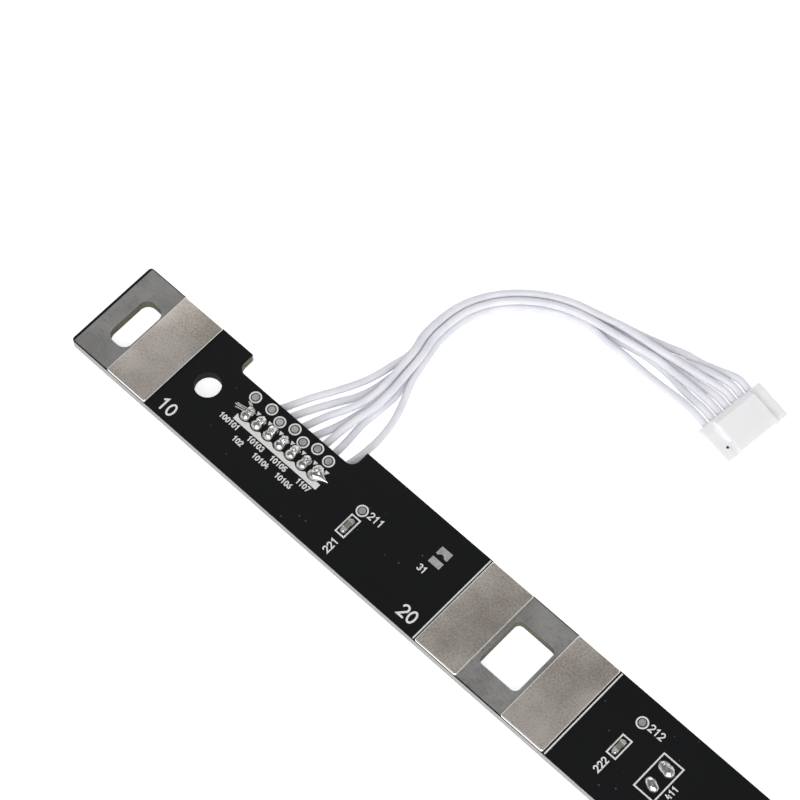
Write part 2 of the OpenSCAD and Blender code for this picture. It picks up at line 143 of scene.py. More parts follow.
# %% A finish with one fine grain
def grained_finish(name, values, grain_mm, detail, shades, bump=None):
    """Two close shades blended by one grain, which also lifts the surface if asked.

    A bump is given as its strength and its depth in millimetres.
    """
    finish, tree, shader, place = start_finish(name, values)
    noise_values = {"Scale": per(grain_mm), "Detail": detail}
    grain = add_node(tree, "TexNoise", noise_values, {"Vector": place.outputs["Object"]})
    dark, light = (linear(shade) for shade in shades)
    tint_values = {"data_type": "RGBA", 6: dark, 7: light}
    tint = add_node(tree, "Mix", tint_values, {0: grain.outputs["Fac"]})
    tree.links.new(tint.outputs[2], shader.inputs["Base Color"])
    if bump:
        bump_values = {"Strength": bump[0], "Distance": bump[1] * MM}
        relief = add_node(tree, "Bump", bump_values, {"Height": grain.outputs["Fac"]})
        tree.links.new(relief.outputs["Normal"], shader.inputs["Normal"])
    print("material:", name)
    return finish


print("a grain of 0.5 mm has a scale of", round(per(0.5)))

# %% [markdown]
# ## Wire insulation: extruded white PVC
#
# The seven wires are thin stranded hook-up wire. Their PVC is drawn through a
# die, so it is smooth and a little waxy, with a faint ripple along it. Light
# goes a short way into it, which softens the shaded side, and handling leaves
# it slightly uneven in colour. Its IOR is about 1.53.

# %% Make the PVC
pvc, tree, shader, place = start_finish(
    "white_pvc_insulation",
    {"Roughness": 0.45, "IOR": 1.53, "Subsurface Weight": 0.6, "Subsurface Scale": 0.7 * MM},
)
shader.inputs["Subsurface Radius"].default_value = (1.0, 0.9, 0.85)
handled = add_node(
    tree, "TexNoise", {"Scale": per(3.5), "Detail": 3}, {"Vector": place.outputs["Object"]}
)
shade = add_node(
    tree, "MapRange", {"From Min": 0.35, "From Max": 0.65}, {"Value": handled.outputs["Fac"]}
)
tint = add_node(
    tree,
    "Mix",
    {"data_type": "RGBA", 6: linear("#e3e4eb"), 7: linear("#efeff3")},
    {0: shade.outputs["Result"]},
)
tree.links.new(tint.outputs[2], shader.inputs["Base Color"])
ripple = add_node(
    tree, "TexNoise", {"Scale": per(0.9), "Detail": 2}, {"Vector": place.outputs["Object"]}
)
bump = add_node(
    tree, "Bump", {"Strength": 0.25, "Distance": 0.05 * MM}, {"Height": ripple.outputs["Fac"]}
)
tree.links.new(bump.outputs["Normal"], shader.inputs["Normal"])
print("material:", pvc.name)

# %% [markdown]
# ## The seven wires
#
# Each wire starts under the board at its bare strands, comes out below the
# notch, runs in the bundle and ends in the plug. A curve with a round bevel
# is the simplest tube: its points are the wire's centre, and its bevel depth
# is half the wire's thickness. The points below are the solid model's own.
# In the bundle the wires lie in three rows: two, then three, then two.

# %% The routes, in millimetres from the board's corner
WIRE_THICK = 1.0
STRANDS_BARE = 1.3
STRANDS_HEADING = math.radians(73)
FIRST_JOINT = Vector((24, 7.9))
JOINT_PITCH = 2.0
JOINT_COUNT = 7
PLUG_AT = Vector((66.7, 45.3, 0))
PLUG_TURN = math.radians(-6)
PLUG_LEAN = math.radians(10)
PLUG_LENGTH = 5.5
CONTACT_PITCH = 1.25
CONTACT_HEIGHT = 1.25
PLUG_MARGIN = 1.5
WIRE_SEAT = 1.0
PLUG_RUN = 2.0
WIRE_LENGTHS = [73.1, 71.7, 70.9, 69.4, 68.2, 68.1, 67.4]
FROM_BOARD = [
    [(25, 10.8, 0.6), (26, 12.8, 0.6), (27.4, 15.8, 0.6), (28.9, 18.5, 0.6),
     (30.2, 20.9, 0.7), (31.3, 23.4, 0.95), (32.1, 26.1, 1.4)],
    [(27, 10.8, 0.6), (27.7, 12.7, 0.58), (29, 15.4, 0.55), (30.4, 17.9, 0.53),
     (31.7, 20.2, 0.53), (32.5, 22.8, 0.53), (32.9, 25.8, 0.53)],
    [(29, 10.8, 0.6), (29.8, 12.7, 0.7), (30.9, 15.3, 1), (32.2, 17.6, 1.4),
     (33.2, 20, 1.75), (33.6, 22.8, 2.15), (33.4, 26, 2.4)],
    [(31, 10.8, 0.6), (31.7, 12.7, 0.6), (32.6, 15.1, 0.53), (33.3, 17.7, 0.53),
     (33.8, 20.4, 0.6), (33.8, 23.2, 0.9), (33.7, 26.2, 1.35)],
    [(33, 10.8, 0.6), (33.4, 12.7, 0.75), (33.7, 15, 1.25), (34.2, 17.4, 1.7),
     (34.8, 19.9, 2.05), (34.9, 22.8, 2.35), (34.6, 26, 2.4)],
    [(34.9, 10.8, 0.6), (35.1, 12.7, 0.6), (35, 15.1, 0.55), (34.8, 17.7, 0.53),
     (35, 20.4, 0.53), (35.1, 23.2, 0.53), (34.6, 26.3, 0.53)],
    [(37, 10.8, 0.6), (37.5, 12.9, 0.6), (37.8, 15.4, 0.6), (37.8, 18, 0.6),
     (37.4, 20.6, 0.6), (36.6, 23.2, 0.85), (35.5, 26, 1.3)],
]
BUNDLE_LINE = [
    (33.7, 29.2), (33.1, 32), (33.1, 35), (33.6, 38), (35, 41),
    (37.2, 43.7), (40.1, 46), (43.3, 47.6), (46.6, 48.5),
]
BUNDLE_PITCH = WIRE_THICK + 0.07
BUNDLE_FLOOR = WIRE_THICK / 2 + 0.03
ROW_RISE = math.sin(math.radians(60))
BUNDLE_SLOT = [(1, 1), (0.5, 0), (0.5, 2), (0, 1), (-0.5, 2), (-0.5, 0), (-1, 1)]
TO_PLUG = [
    [(49.3, 50.35, 1.42), (52.4, 51.1, 1.4), (55.5, 52, 1.4), (58.6, 53, 1.4),
     (61.2, 53.4, 1.6), (63.5, 53.9, 2.1)],
    [(49.4, 49.75, 0.53), (52.4, 50.5, 0.53), (55.4, 51.2, 0.6), (58.4, 51.8, 1.2),
     (61, 52.3, 2.1), (63.5, 52.8, 2.6)],
    [(49.4, 49.85, 2.4), (52.4, 50.3, 2.45), (55.4, 50.6, 2.45), (58.3, 51, 2.45),
     (61, 51.3, 2.55), (63.5, 51.7, 2.6)],
    [(49.6, 49.2, 1.48), (52.4, 49.9, 1.4), (55.3, 50.4, 1.35), (58.3, 50.5, 1.4),
     (61.2, 50.6, 1.7), (63.4, 50.65, 2.2)],
    [(49.8, 48.5, 2.3), (53, 49.1, 2.15), (56.2, 49.6, 2.1), (59.4, 49.65, 2.15),
     (62, 49.65, 2.3), (63.8, 49.55, 2.5)],
    [(49.7, 48.5, 0.53), (52.7, 49.3, 0.53), (55.7, 49.6, 0.7), (58.8, 49.4, 1),
     (61.5, 48.8, 1.6), (63.6, 48.4, 2.2)],
    [(49.8, 47.5, 1.2), (53, 47.7, 0.9), (56, 47.6, 0.9), (59, 47.5, 1.2),
     (61.6, 47.4, 1.8), (63.5, 47.2, 2.3)],
]
# The plug leans on the lower edge of its mating side, held up by its wires.
TO_MATING_EDGE = Matrix.Translation((PLUG_LENGTH, 0, 0))
PLUG_PLACE = (
    Matrix.Translation(PLUG_AT)
    @ Matrix.Rotation(PLUG_TURN, 4, "Z")
    @ TO_MATING_EDGE
    @ Matrix.Rotation(PLUG_LEAN, 4, "Y")
    @ TO_MATING_EDGE.inverted()
)


def joint_place(i):
    """Where wire i, counted from 1, is soldered."""
    return FIRST_JOINT + Vector(((i - 1) * JOINT_PITCH, 0))


def in_bundle(i, k):
    """Wire i at point k of the bundle's middle line, moved to its own slot."""
    before, after = max(k - 1, 0), min(k + 1, len(BUNDLE_LINE) - 1)
    ahead = (Vector(BUNDLE_LINE[after]) - Vector(BUNDLE_LINE[before])).normalized()
    across, row = BUNDLE_SLOT[i - 1]
    place = Vector(BUNDLE_LINE[k]) + across * BUNDLE_PITCH * ahead.orthogonal()
    height = BUNDLE_FLOOR + row * BUNDLE_PITCH * ROW_RISE
    return Vector((*place, height))


def smooth_line(points, steps):
    """A Catmull-Rom line through the points."""
    line = []
    last = len(points) - 1
    for k in range(last):
        a, b, c, d = (points[min(max(k + j, 0), last)] for j in (-1, 0, 1, 2))
        for step in range(steps):
            t = step / steps
            bend = (2 * a - 5 * b + 4 * c - d) * t * t + (3 * b - a - 3 * c + d) * t**3
            line.append((2 * b + (c - a) * t + bend) / 2)
    return line + [points[last]]


def contact_y(i):
    """How far across the plug contact i is."""
    return PLUG_MARGIN + (JOINT_COUNT - i) * CONTACT_PITCH


def route(i):
    """The points of wire i, from its bare strands to its seat in the plug."""
    heading = Vector((math.cos(STRANDS_HEADING), math.sin(STRANDS_HEADING)))
    start = joint_place(i) + STRANDS_BARE * heading
    points = [Vector((*start, FROM_BOARD[i - 1][0][2]))]
    points += [Vector(spot) for spot in FROM_BOARD[i - 1]]
    points += [in_bundle(i, k) for k in range(len(BUNDLE_LINE))]
    points += [Vector(spot) for spot in TO_PLUG[i - 1]]
    seat = [Vector((x, contact_y(i), CONTACT_HEIGHT)) for x in (-PLUG_RUN, 0, WIRE_SEAT)]
    return points + [PLUG_PLACE @ spot for spot in seat]


print("points in each route:", len(route(1)))


# %% Draw the wires
STEPS_BETWEEN_POINTS = 6


def draw_wire(i):
    """Wire i as a round tube, and the line of its centre in frame metres."""
    curve = bpy.data.curves.new(f"insulated_wire_{i}", "CURVE")
    curve.dimensions = "3D"
    curve.bevel_depth = WIRE_THICK / 2 * MM
    curve.bevel_resolution = 4
    curve.use_fill_caps = True
    line = [TO_FRAME @ spot for spot in smooth_line(route(i), STEPS_BETWEEN_POINTS)]
    spline = curve.splines.new("POLY")
    spline.points.add(len(line) - 1)
    for point, spot in zip(spline.points, line):
        point.co = (*spot, 1)
    curve.materials.append(pvc)
    piece = bpy.data.objects.new(curve.name, curve)
    bpy.context.scene.collection.objects.link(piece)
    return piece, line


wires = []
for i in range(1, JOINT_COUNT + 1):
    wire, line = draw_wire(i)
    wires.append((wire, line))
    measured = sum((b - a).length for a, b in zip(line, line[1:]))
    print(wire.name, round(measured * 1000, 1), "mm")

# %% [markdown]
# ## From a mesh in millimetres to a piece on the board
#
# Every other piece is drawn in board millimetres, where a bevel of 0.1 is a
# number one can picture. Its modifiers run at that size, and the finished
# mesh is then brought to the frame's metres, all at one place.

# %% Turn a bmesh into a finished piece
SHARP_ANGLE = math.radians(50)


def make_piece(name, shape, finish, replaced=(), modifiers=(), smooth=True):
    """Builds the mesh, applies its modifiers, moves it to the frame and lets it ride there."""
    mesh = bpy.data.meshes.new(name)
    bmesh.ops.recalc_face_normals(shape, faces=shape.faces[:])
    shape.to_mesh(mesh)
    shape.free()
    piece = bpy.data.objects.new(name, mesh)
    bpy.context.scene.collection.objects.link(piece)
    for kind, values in modifiers:
        modifier = piece.modifiers.new(kind.title(), kind)
        for key, value in values.items():
            setattr(modifier, key, value)
    if modifiers:
        graph = bpy.context.evaluated_depsgraph_get()
        baked = bpy.data.meshes.new_from_object(piece.evaluated_get(graph))
        piece.modifiers.clear()
        piece.data = baked
        bpy.data.meshes.remove(mesh)
    piece.data.transform(TO_FRAME)
    piece.data.materials.clear()
    piece.data.materials.append(finish)
    for face in piece.data.polygons:
        face.use_smooth = smooth
    if smooth:
        piece.data.set_sharp_from_angle(angle=SHARP_ANGLE)
    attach(piece, "root")
    if replaced:
        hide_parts(*replaced)
    return piece


def add_box(shape, low, high):
    """Adds a box between two corners to the bmesh."""
    for vert in bmesh.ops.create_cube(shape, size=1)["verts"]:
        vert.co = Vector(l + (h - l) * (c + 0.5) for l, h, c in zip(low, high, vert.co))


def dress(node, finish):
    """Gives a solid of the frame a finish, and leaves its shape as it is."""
    data = nodes[node].data
    data.materials.clear()
    data.materials.append(finish)


print("solids in the frame:", len(nodes))

# %% [markdown]
# ## The board: glass epoxy under black solder mask
#
# FR4 is woven glass in epoxy. Its faces are printed with liquid photoimageable
# solder mask, which cures to a black half-gloss film over the faint weave.
# The routed outer sides are bare laminate: pale grey, fibrous and layered.
# Every other wall, such as those of the openings, is the same laminate painted
# a darker olive: painted shade, as these walls get less light. The screw hole
# is black all the way down. Four materials could do this, but the solid is
# one piece, so one material chooses by which way the surface faces and where
# it is. Specks of dust and flux lie on the black: a Voronoi cell holds one
# speck, and a slow noise decides how large it is, down to nothing.

# %% Make the mask with its dust
SCREW_HOLE = (17.4 - BOARD_LENGTH / 2, 7.4 - BOARD_WIDTH / 2)
SCREW_HOLE_REACH = 2.0
FLECK_CELL = 3.2
FLECK_REACH = 0.035
FLECK_STRENGTH = 0.28
OUTER_SIDE = BOARD_WIDTH / 2 - 0.2
MASK_WRAP = 0.1

board_finish, tree, shader, place = start_finish(
    "black_solder_mask_on_fr4", {"IOR": 1.38, "Roughness": 0.34}
)
here = place.outputs["Object"]
clouds = add_node(tree, "TexNoise", {"Scale": per(14), "Detail": 2}, {"Vector": here})
black = add_node(
    tree,
    "Mix",
    {"data_type": "RGBA", 6: linear("#040505"), 7: linear("#090a0c")},
    {0: clouds.outputs["Fac"]},
)
flecks = add_node(
    tree, "TexVoronoi", {"voronoi_dimensions": "2D", "Scale": per(FLECK_CELL)}, {"Vector": here}
)
fleck_size = add_node(tree, "TexNoise", {"Scale": per(7), "Detail": 1}, {"Vector": here})
fleck_limit = add_node(
    tree,
    "MapRange",
    {"From Min": 0.52, "From Max": 0.68, "To Min": 0.0, "To Max": FLECK_REACH},
    {"Value": fleck_size.outputs["Fac"]},
)
fleck = add_node(
    tree,
    "Math",
    {"operation": "LESS_THAN"},
    {0: flecks.outputs["Distance"], 1: fleck_limit.outputs["Result"]},
)
fleck_part = add_node(
    tree, "Math", {"operation": "MULTIPLY", 1: FLECK_STRENGTH}, {0: fleck.outputs["Value"]}
)
dusty = add_node(
    tree,
    "Mix",
    {"data_type": "RGBA", 7: linear("#8b8a84")},
    {0: fleck_part.outputs["Value"], 6: black.outputs[2]},
)
print("largest speck:", round(2 * FLECK_REACH * FLECK_CELL, 2), "mm across")

# %% Make the bare laminate and its painted shade
layers = add_node(
    tree, "Mapping", {"Scale": (per(2.5), per(2.5), per(0.22))}, {"Vector": here}
)
fibres = add_node(tree, "TexNoise", {"Scale": 1, "Detail": 4}, {"Vector": layers.outputs["Vector"]})
laminate = add_node(
    tree,
    "Mix",
    {"data_type": "RGBA", 6: linear("#9d9e9b"), 7: linear("#c6c6c3")},
    {0: fibres.outputs["Fac"]},
)
# Walls other than the two long outer sides are painted a darker olive: painted shade.
spot = add_node(tree, "SeparateXYZ", links={"Vector": here})
off_middle = add_node(tree, "Math", {"operation": "ABSOLUTE"}, {0: spot.outputs["Y"]})
painted_shade_walls = add_node(
    tree,
    "Math",
    {"operation": "LESS_THAN", 1: OUTER_SIDE * MM},
    {0: off_middle.outputs["Value"]},
)
# Laminate on the outer sides, and painted olive shade on every other wall.
sides = add_node(
    tree,
    "Mix",
    {"data_type": "RGBA", 7: linear("#6f6d5c")},
    {0: painted_shade_walls.outputs["Value"], 6: laminate.outputs[2]},
)
print("outer sides start", OUTER_SIDE, "mm from the middle")

# %% Choose between mask and laminate
facing = add_node(tree, "SeparateXYZ", links={"Vector": place.outputs["Normal"]})
level = add_node(tree, "Math", {"operation": "ABSOLUTE"}, {0: facing.outputs["Z"]})
printed = add_node(
    tree, "Math", {"operation": "GREATER_THAN", 1: 0.5}, {0: level.outputs["Value"]}
)
mask_edge = add_node(
    tree,
    "Math",
    {"operation": "GREATER_THAN", 1: (TOP - MASK_WRAP) * MM},
    {0: spot.outputs["Z"]},
)
from_hole = add_node(
    tree,
    "VectorMath",
    {"operation": "SUBTRACT", 1: (SCREW_HOLE[0] * MM, SCREW_HOLE[1] * MM, 0)},
    {0: here},
)
flat_from_hole = add_node(
    tree, "VectorMath", {"operation": "MULTIPLY", 1: (1, 1, 0)}, {0: from_hole.outputs["Vector"]}
)
hole_distance = add_node(
    tree, "VectorMath", {"operation": "LENGTH"}, {0: flat_from_hole.outputs["Vector"]}
)
in_hole = add_node(
    tree,
    "Math",
    {"operation": "LESS_THAN", 1: SCREW_HOLE_REACH * MM},
    {0: hole_distance.outputs["Value"]},
)
black_part = printed
for more in (mask_edge, in_hole):
    black_part = add_node(
        tree,
        "Math",
        {"operation": "MAXIMUM"},
        {0: black_part.outputs["Value"], 1: more.outputs["Value"]},
    )
whole = add_node(
    tree,
    "Mix",
    {"data_type": "RGBA"},
    {0: black_part.outputs["Value"], 6: sides.outputs[2], 7: dusty.outputs[2]},
)
tree.links.new(whole.outputs[2], shader.inputs["Base Color"])
rough = add_node(
    tree, "MapRange", {"To Min": 0.8, "To Max": 0.33}, {"Value": printed.outputs["Value"]}
)
tree.links.new(rough.outputs["Result"], shader.inputs["Roughness"])
weave = add_node(tree, "TexNoise", {"Scale": per(0.5), "Detail": 2}, {"Vector": here})
relief = add_node(
    tree, "Math", {"operation": "ADD"}, {0: weave.outputs["Fac"], 1: fibres.outputs["Fac"]}
)
bump = add_node(
    tree, "Bump", {"Strength": 0.12, "Distance": 0.03 * MM}, {"Height": relief.outputs["Value"]}
)
tree.links.new(bump.outputs["Normal"], shader.inputs["Normal"])
dress("circuit_board", board_finish)
print("material:", board_finish.name)

# %% [markdown]
# ## Tinned copper lands
#
# The bare copper is dipped in molten tin and blown level with hot air. It is
# a soft grey with clouds a few millimetres wide, where the tin ran and
# cooled, with fine scuffs and a few dark scratches that all run one way. It
# is a metal, so its colour is its reflection, and roughness decides how dull
# it looks. Noise stretched along one axis is enough to draw a scratch.

# %% Make the tinned copper
tinned, tree, shader, place = start_finish(
    "hot_air_levelled_tin", {"Metallic": 1.0, "Roughness": 0.45}
)
here = place.outputs["Object"]
clouds = add_node(tree, "TexNoise", {"Scale": per(4), "Detail": 2}, {"Vector": here})
pores = add_node(tree, "TexNoise", {"Scale": per(0.25), "Detail": 3}, {"Vector": here})
mottle = add_node(
    tree, "Math", {"operation": "ADD"}, {0: clouds.outputs["Fac"], 1: pores.outputs["Fac"]}
)
shade = add_node(
    tree, "MapRange", {"From Min": 0.75, "From Max": 1.25}, {"Value": mottle.outputs["Value"]}
)
tin_tint = add_node(
    tree,
    "Mix",
    {"data_type": "RGBA", 6: linear("#a5a4a0"), 7: linear("#b2b1ae")},
    {0: shade.outputs["Result"]},
)
drags = add_node(
    tree,
    "Mapping",
    {"Rotation": (0, 0, math.radians(35)), "Scale": (per(1.4), per(0.12), per(1))},
    {"Vector": here},
)
drag_field = add_node(
    tree, "TexNoise", {"Scale": 1, "Detail": 2}, {"Vector": drags.outputs["Vector"]}
)
scratch = add_node(
    tree,
    "MapRange",
    {"From Min": 0.64, "From Max": 0.7, "To Max": 0.6},
    {"Value": drag_field.outputs["Fac"]},
)
tin_scratched = add_node(
    tree,
    "Mix",
    {"data_type": "RGBA", 7: linear("#5d5b56")},
    {0: scratch.outputs["Result"], 6: tin_tint.outputs[2]},
)
tree.links.new(tin_scratched.outputs[2], shader.inputs["Base Color"])
rough = add_node(
    tree, "MapRange", {"To Min": 0.38, "To Max": 0.55}, {"Value": shade.outputs["Result"]}
)
tree.links.new(rough.outputs["Result"], shader.inputs["Roughness"])
scuffs = add_node(
    tree, "Mapping", {"Scale": (per(1.6), per(0.25), per(1))}, {"Vector": here}
)
scuff_grain = add_node(
    tree, "TexNoise", {"Scale": 1, "Detail": 4}, {"Vector": scuffs.outputs["Vector"]}
)
bump = add_node(
    tree, "Bump", {"Strength": 0.2, "Distance": 0.02 * MM}, {"Height": scuff_grain.outputs["Fac"]}
)
tree.links.new(bump.outputs["Normal"], shader.inputs["Normal"])
for node in ("tap_land_0", "tap_land_1", "tap_land_2"):
    dress(node, tinned)
print("material:", tinned.name)

# %% Brighten the tin for the small pads
# They hold a thinner and fresher coat than the wide lands.
tin_tint.name = "tint"
thin_tin = tinned.copy()
thin_tin.name = "thin_levelled_tin"
thin_tin.node_tree.nodes["tint"].inputs[6].default_value = linear("#c3c2be")
thin_tin.node_tree.nodes["tint"].inputs[7].default_value = linear("#dbdad7")
for node in ("test_pads", "jumper_pads", "chip_pads"):
    dress(node, thin_tin)
print("material:", thin_tin.name)

# %% [markdown]
# ## Nickel plates
#
# The cells' tabs are welded to nickel strip, cut to length and soldered to the
# lands. Rolled strip has a warm grey satin face with a fine pebbled grain,
# and its punched edge rolls over and is burnished. A box with beveled edges
# gives that bright line, which a sharp corner can't. Where the surface tips
# away from level the finish turns smoother, for the burnish, and also paler,
# which is a painted highlight on the rims and sides.

# %% Make the nickel
nickel, tree, shader, place = start_finish(
    "satin_nickel_strip", {"Metallic": 1.0, "Roughness": 0.4}
)
here = place.outputs["Object"]
grain = add_node(tree, "TexNoise", {"Scale": per(0.28), "Detail": 3}, {"Vector": here})
patches = add_node(tree, "TexNoise", {"Scale": per(6), "Detail": 2}, {"Vector": here})
mottle = add_node(
    tree, "Math", {"operation": "ADD"}, {0: grain.outputs["Fac"], 1: patches.outputs["Fac"]}
)
shade = add_node(
    tree, "MapRange", {"From Min": 0.8, "From Max": 1.2}, {"Value": mottle.outputs["Value"]}
)
nickel_tint = add_node(
    tree,
    "Mix",
    {"data_type": "RGBA", 6: linear("#bdb5a8"), 7: linear("#efe7de")},
    {0: shade.outputs["Result"]},
)
upright = add_node(tree, "SeparateXYZ", links={"Vector": place.outputs["Normal"]})
# Tipped faces get smoother for the burnish, and paler as a painted highlight.
burnish_and_painted_sheen = add_node(
    tree,
    "MapRange",
    {"From Min": 0.95, "From Max": 0.85},
    {"Value": upright.outputs["Z"]},
)
nickel_with_painted_sheen = add_node(
    tree,
    "Mix",
    {"data_type": "RGBA", 7: linear("#fbf8f2")},
    {0: burnish_and_painted_sheen.outputs["Result"], 6: nickel_tint.outputs[2]},
)
tree.links.new(nickel_with_painted_sheen.outputs[2], shader.inputs["Base Color"])
rough = add_node(
    tree, "MapRange", {"To Min": 0.45, "To Max": 0.3}, {"Value": grain.outputs["Fac"]}
)
satin = add_node(
    tree,
    "MapRange",
    {"To Max": 0.12},
    {"Value": burnish_and_painted_sheen.outputs["Result"], "To Min": rough.outputs["Result"]},
)
tree.links.new(satin.outputs["Result"], shader.inputs["Roughness"])
bump = add_node(
    tree, "Bump", {"Strength": 0.3, "Distance": 0.03 * MM}, {"Height": grain.outputs["Fac"]}
)
tree.links.new(bump.outputs["Normal"], shader.inputs["Normal"])
print("material:", nickel.name)

# %% Cut the nickel plates
PLATE_EDGE = 0.2
HAIR = 0.001


def in_board_mm(node):
    """The lowest and highest corner of a solid, in board millimetres."""
    return [TO_FRAME.inverted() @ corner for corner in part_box(node)]


for node in ("nickel_plate_0", "nickel_plate_1a", "nickel_plate_1b", "nickel_plate_2"):
    low, high = in_board_mm(node)
    shape = bmesh.new()
    add_box(shape, low, high)
    uprights = [e for e in shape.edges if abs(e.verts[0].co.z - e.verts[1].co.z) > HAIR]
    bmesh.ops.bevel(
        shape, geom=uprights, offset=high.z - low.z, segments=6, affect="EDGES", profile=0.5
    )
    rim = [e for e in shape.edges if all(v.co.z > high.z - HAIR for v in e.verts)]
    bmesh.ops.bevel(shape, geom=rim, offset=PLATE_EDGE, segments=4, affect="EDGES", profile=0.5)
    plate = make_piece(f"rolled_{node}", shape, nickel, [node])
    print(plate.name, len(plate.data.polygons), "faces")

# %% [markdown]
# ## Screen print
#
# The white ink is pressed through a fine mesh. It is matt, a little thin in
# places and not quite pure white. The frames, rings and lines are solids of
# the frame, so they only need the ink. Plain numbers are drawn beside them,
# as a maker prints to count the places on a board.

# %% Make the ink
matt_ink = {"Roughness": 0.6, "IOR": 1.5}
ink = grained_finish("white_epoxy_ink", matt_ink, 0.35, 3, ("#d2d3d0", "#efefec"), (0.3, 0.01))
dress("silkscreen", ink)


# %% Shapes of the digits
def arc(middle, radii, start, end):
    """Points on an oval from one angle to another, in degrees."""
    count = max(3, round(abs(end - start) / 15))
    angles = [math.radians(start + (end - start) * k / count) for k in range(count + 1)]
    return [
        (middle[0] + radii[0] * math.cos(a), middle[1] + radii[1] * math.sin(a)) for a in angles
    ]


# Each digit stands in a cell 0.6 wide and 1 high, and is one or two strokes.
DIGITS = {
    "0": [arc((0.3, 0.5), (0.27, 0.47), 0, 360)],
    "1": [[(0.12, 0.8), (0.34, 0.97), (0.34, 0.03)]],
    "2": [arc((0.3, 0.7), (0.26, 0.27), 165, -30) + [(0.05, 0.03), (0.56, 0.03)]],
    "3": [arc((0.29, 0.74), (0.24, 0.23), 150, -70) + arc((0.29, 0.28), (0.26, 0.25), 70, -150)],
    "4": [[(0.2, 0.97), (0.05, 0.35), (0.38, 0.35)], [(0.44, 0.62), (0.44, 0.03)]],
    "5": [[(0.52, 0.97), (0.12, 0.97), (0.08, 0.55)] + arc((0.29, 0.3), (0.26, 0.27), 110, -150)],
    "6": [[(0.46, 0.97), (0.2, 0.7)] + arc((0.3, 0.28), (0.25, 0.25), 165, 500)],
    "7": [[(0.04, 0.97), (0.56, 0.97), (0.2, 0.03)]],
}
DIGIT_PITCH = 0.78
INK_THICK = 0.04
print("digits drawn:", " ".join(DIGITS))


# %% Lay a stroke of ink
SLIMMEST_MITRE = 0.4


def lay_stroke(shape, line, width):
    """A flat ribbon of ink along a line of points, with round ends where it isn't a ring."""
    half = width / 2
    closed = (line[0] - line[-1]).length < 0.01 * width
    if closed:
        line = line[:-1]
    sides = []
    for k, point in enumerate(line):
        goes_on = closed or k < len(line) - 1
        before = line[k - 1] if closed or k else 2 * line[0] - line[1]
        after = line[(k + 1) % len(line)] if goes_on else 2 * point - line[k - 1]
        way_in = (point - before).normalized()
        middle = (way_in + (after - point).normalized()).normalized()
        across = Vector((-middle.y, middle.x)) * half / max(SLIMMEST_MITRE, middle.dot(way_in))
        sides.append((point + across, point - across))
    pairs = zip(sides, sides[1:] + sides[:1]) if closed else zip(sides, sides[1:])
    faces = [[a[0], b[0], b[1], a[1]] for a, b in pairs]
    if not closed:
        for end, inward in ((0, 1), (-1, -2)):
            away = (line[end] - line[inward]).normalized()
            across = Vector((-away.y, away.x))
            turns = [math.pi * (k / 6 - 0.5) for k in range(7)]
            faces.append(
                [line[end] + half * (math.cos(t) * away + math.sin(t) * across) for t in turns]
            )
    for face in faces:
        shape.faces.new([shape.verts.new((p.x, p.y, TOP - INK_THICK)) for p in face])


def print_number(shape, text, x, y, size, width, turn):
    """Prints digits from their lower left corner, on a line turned by some degrees."""
    spin = Matrix.Rotation(math.radians(turn), 2)
    for k, digit in enumerate(text):
        for stroke in DIGITS[digit]:
            local = [Vector((k * DIGIT_PITCH + u, v)) * size for u, v in stroke]
            lay_stroke(shape, [Vector((x, y)) + spin @ p for p in local], width)


print("a digit takes", DIGIT_PITCH, "of its height")

# %% Print the numbers
TAP_PITCH = 66.6
# Each row is the text, its corner's x and y, the height and stroke, and the turn in degrees.
NUMBERS = [
    ("10", 14.7, 0.85, 1.72, 0.27, 0),
    ("20", 56.4, 1.2, 1.72, 0.27, 0),
    ("30", 56.4 + TAP_PITCH, 1.2, 1.72, 0.27, 0),
    ("100101", 21.45, 5.3, 0.7, 0.16, 0),
    ("10103", 26.4, 5.3, 0.7, 0.16, 0),
    ("10105", 30.4, 5.3, 0.7, 0.16, 0),
    ("1107", 35.0, 5.3, 0.7, 0.16, 0),
    ("102", 25.0, 4.05, 0.7, 0.16, 0),
    ("10104", 28.5, 4.05, 0.7, 0.16, 0),
    ("10106", 32.5, 4.05, 0.7, 0.16, 0),
    ("221", 44.7, 1.1, 0.95, 0.18, 90),
    ("222", 88.3, 2.8, 0.92, 0.18, 90),
    ("211", 44.95, 7.95, 1.0, 0.17, 0),
    ("212", 89.0, 10.95, 1.0, 0.17, 0),
    ("31", 54.1, 7.2, 0.85, 0.17, 0),
    ("411", 96.8, 6.1, 0.78, 0.17, 90),
]
SAME_POINT = 0.002
shape = bmesh.new()
for row in NUMBERS:
    print_number(shape, *row)
bmesh.ops.remove_doubles(shape, verts=shape.verts[:], dist=SAME_POINT)
raised = bmesh.ops.extrude_face_region(shape, geom=shape.faces[:])["geom"]
for vert in raised:
    if isinstance(vert, bmesh.types.BMVert):
        vert.co.z += 2 * INK_THICK
numbers = make_piece("printed_numbers", shape, ink, smooth=False)
print(numbers.name, len(numbers.data.polygons), "faces")

# %% [markdown]
# ## Solder joints
#
# Molten solder pulls itself into a smooth dome, and here each joint has two:
# one where the iron left, bright and round, and one that wets the wire's
# strands and shows them as ripples. The last joint also has a spike, drawn
# out when the iron left too late. Metaballs could make such blobs, but here
# the surface is found by walking out from the middle of the joint in every
# direction until the last of a few ovals is left behind, which gives one
# closed skin without seams and with a flat foot. Fresh solder is a mirror
# with dull patches of oxide, so its roughness varies more than its colour.

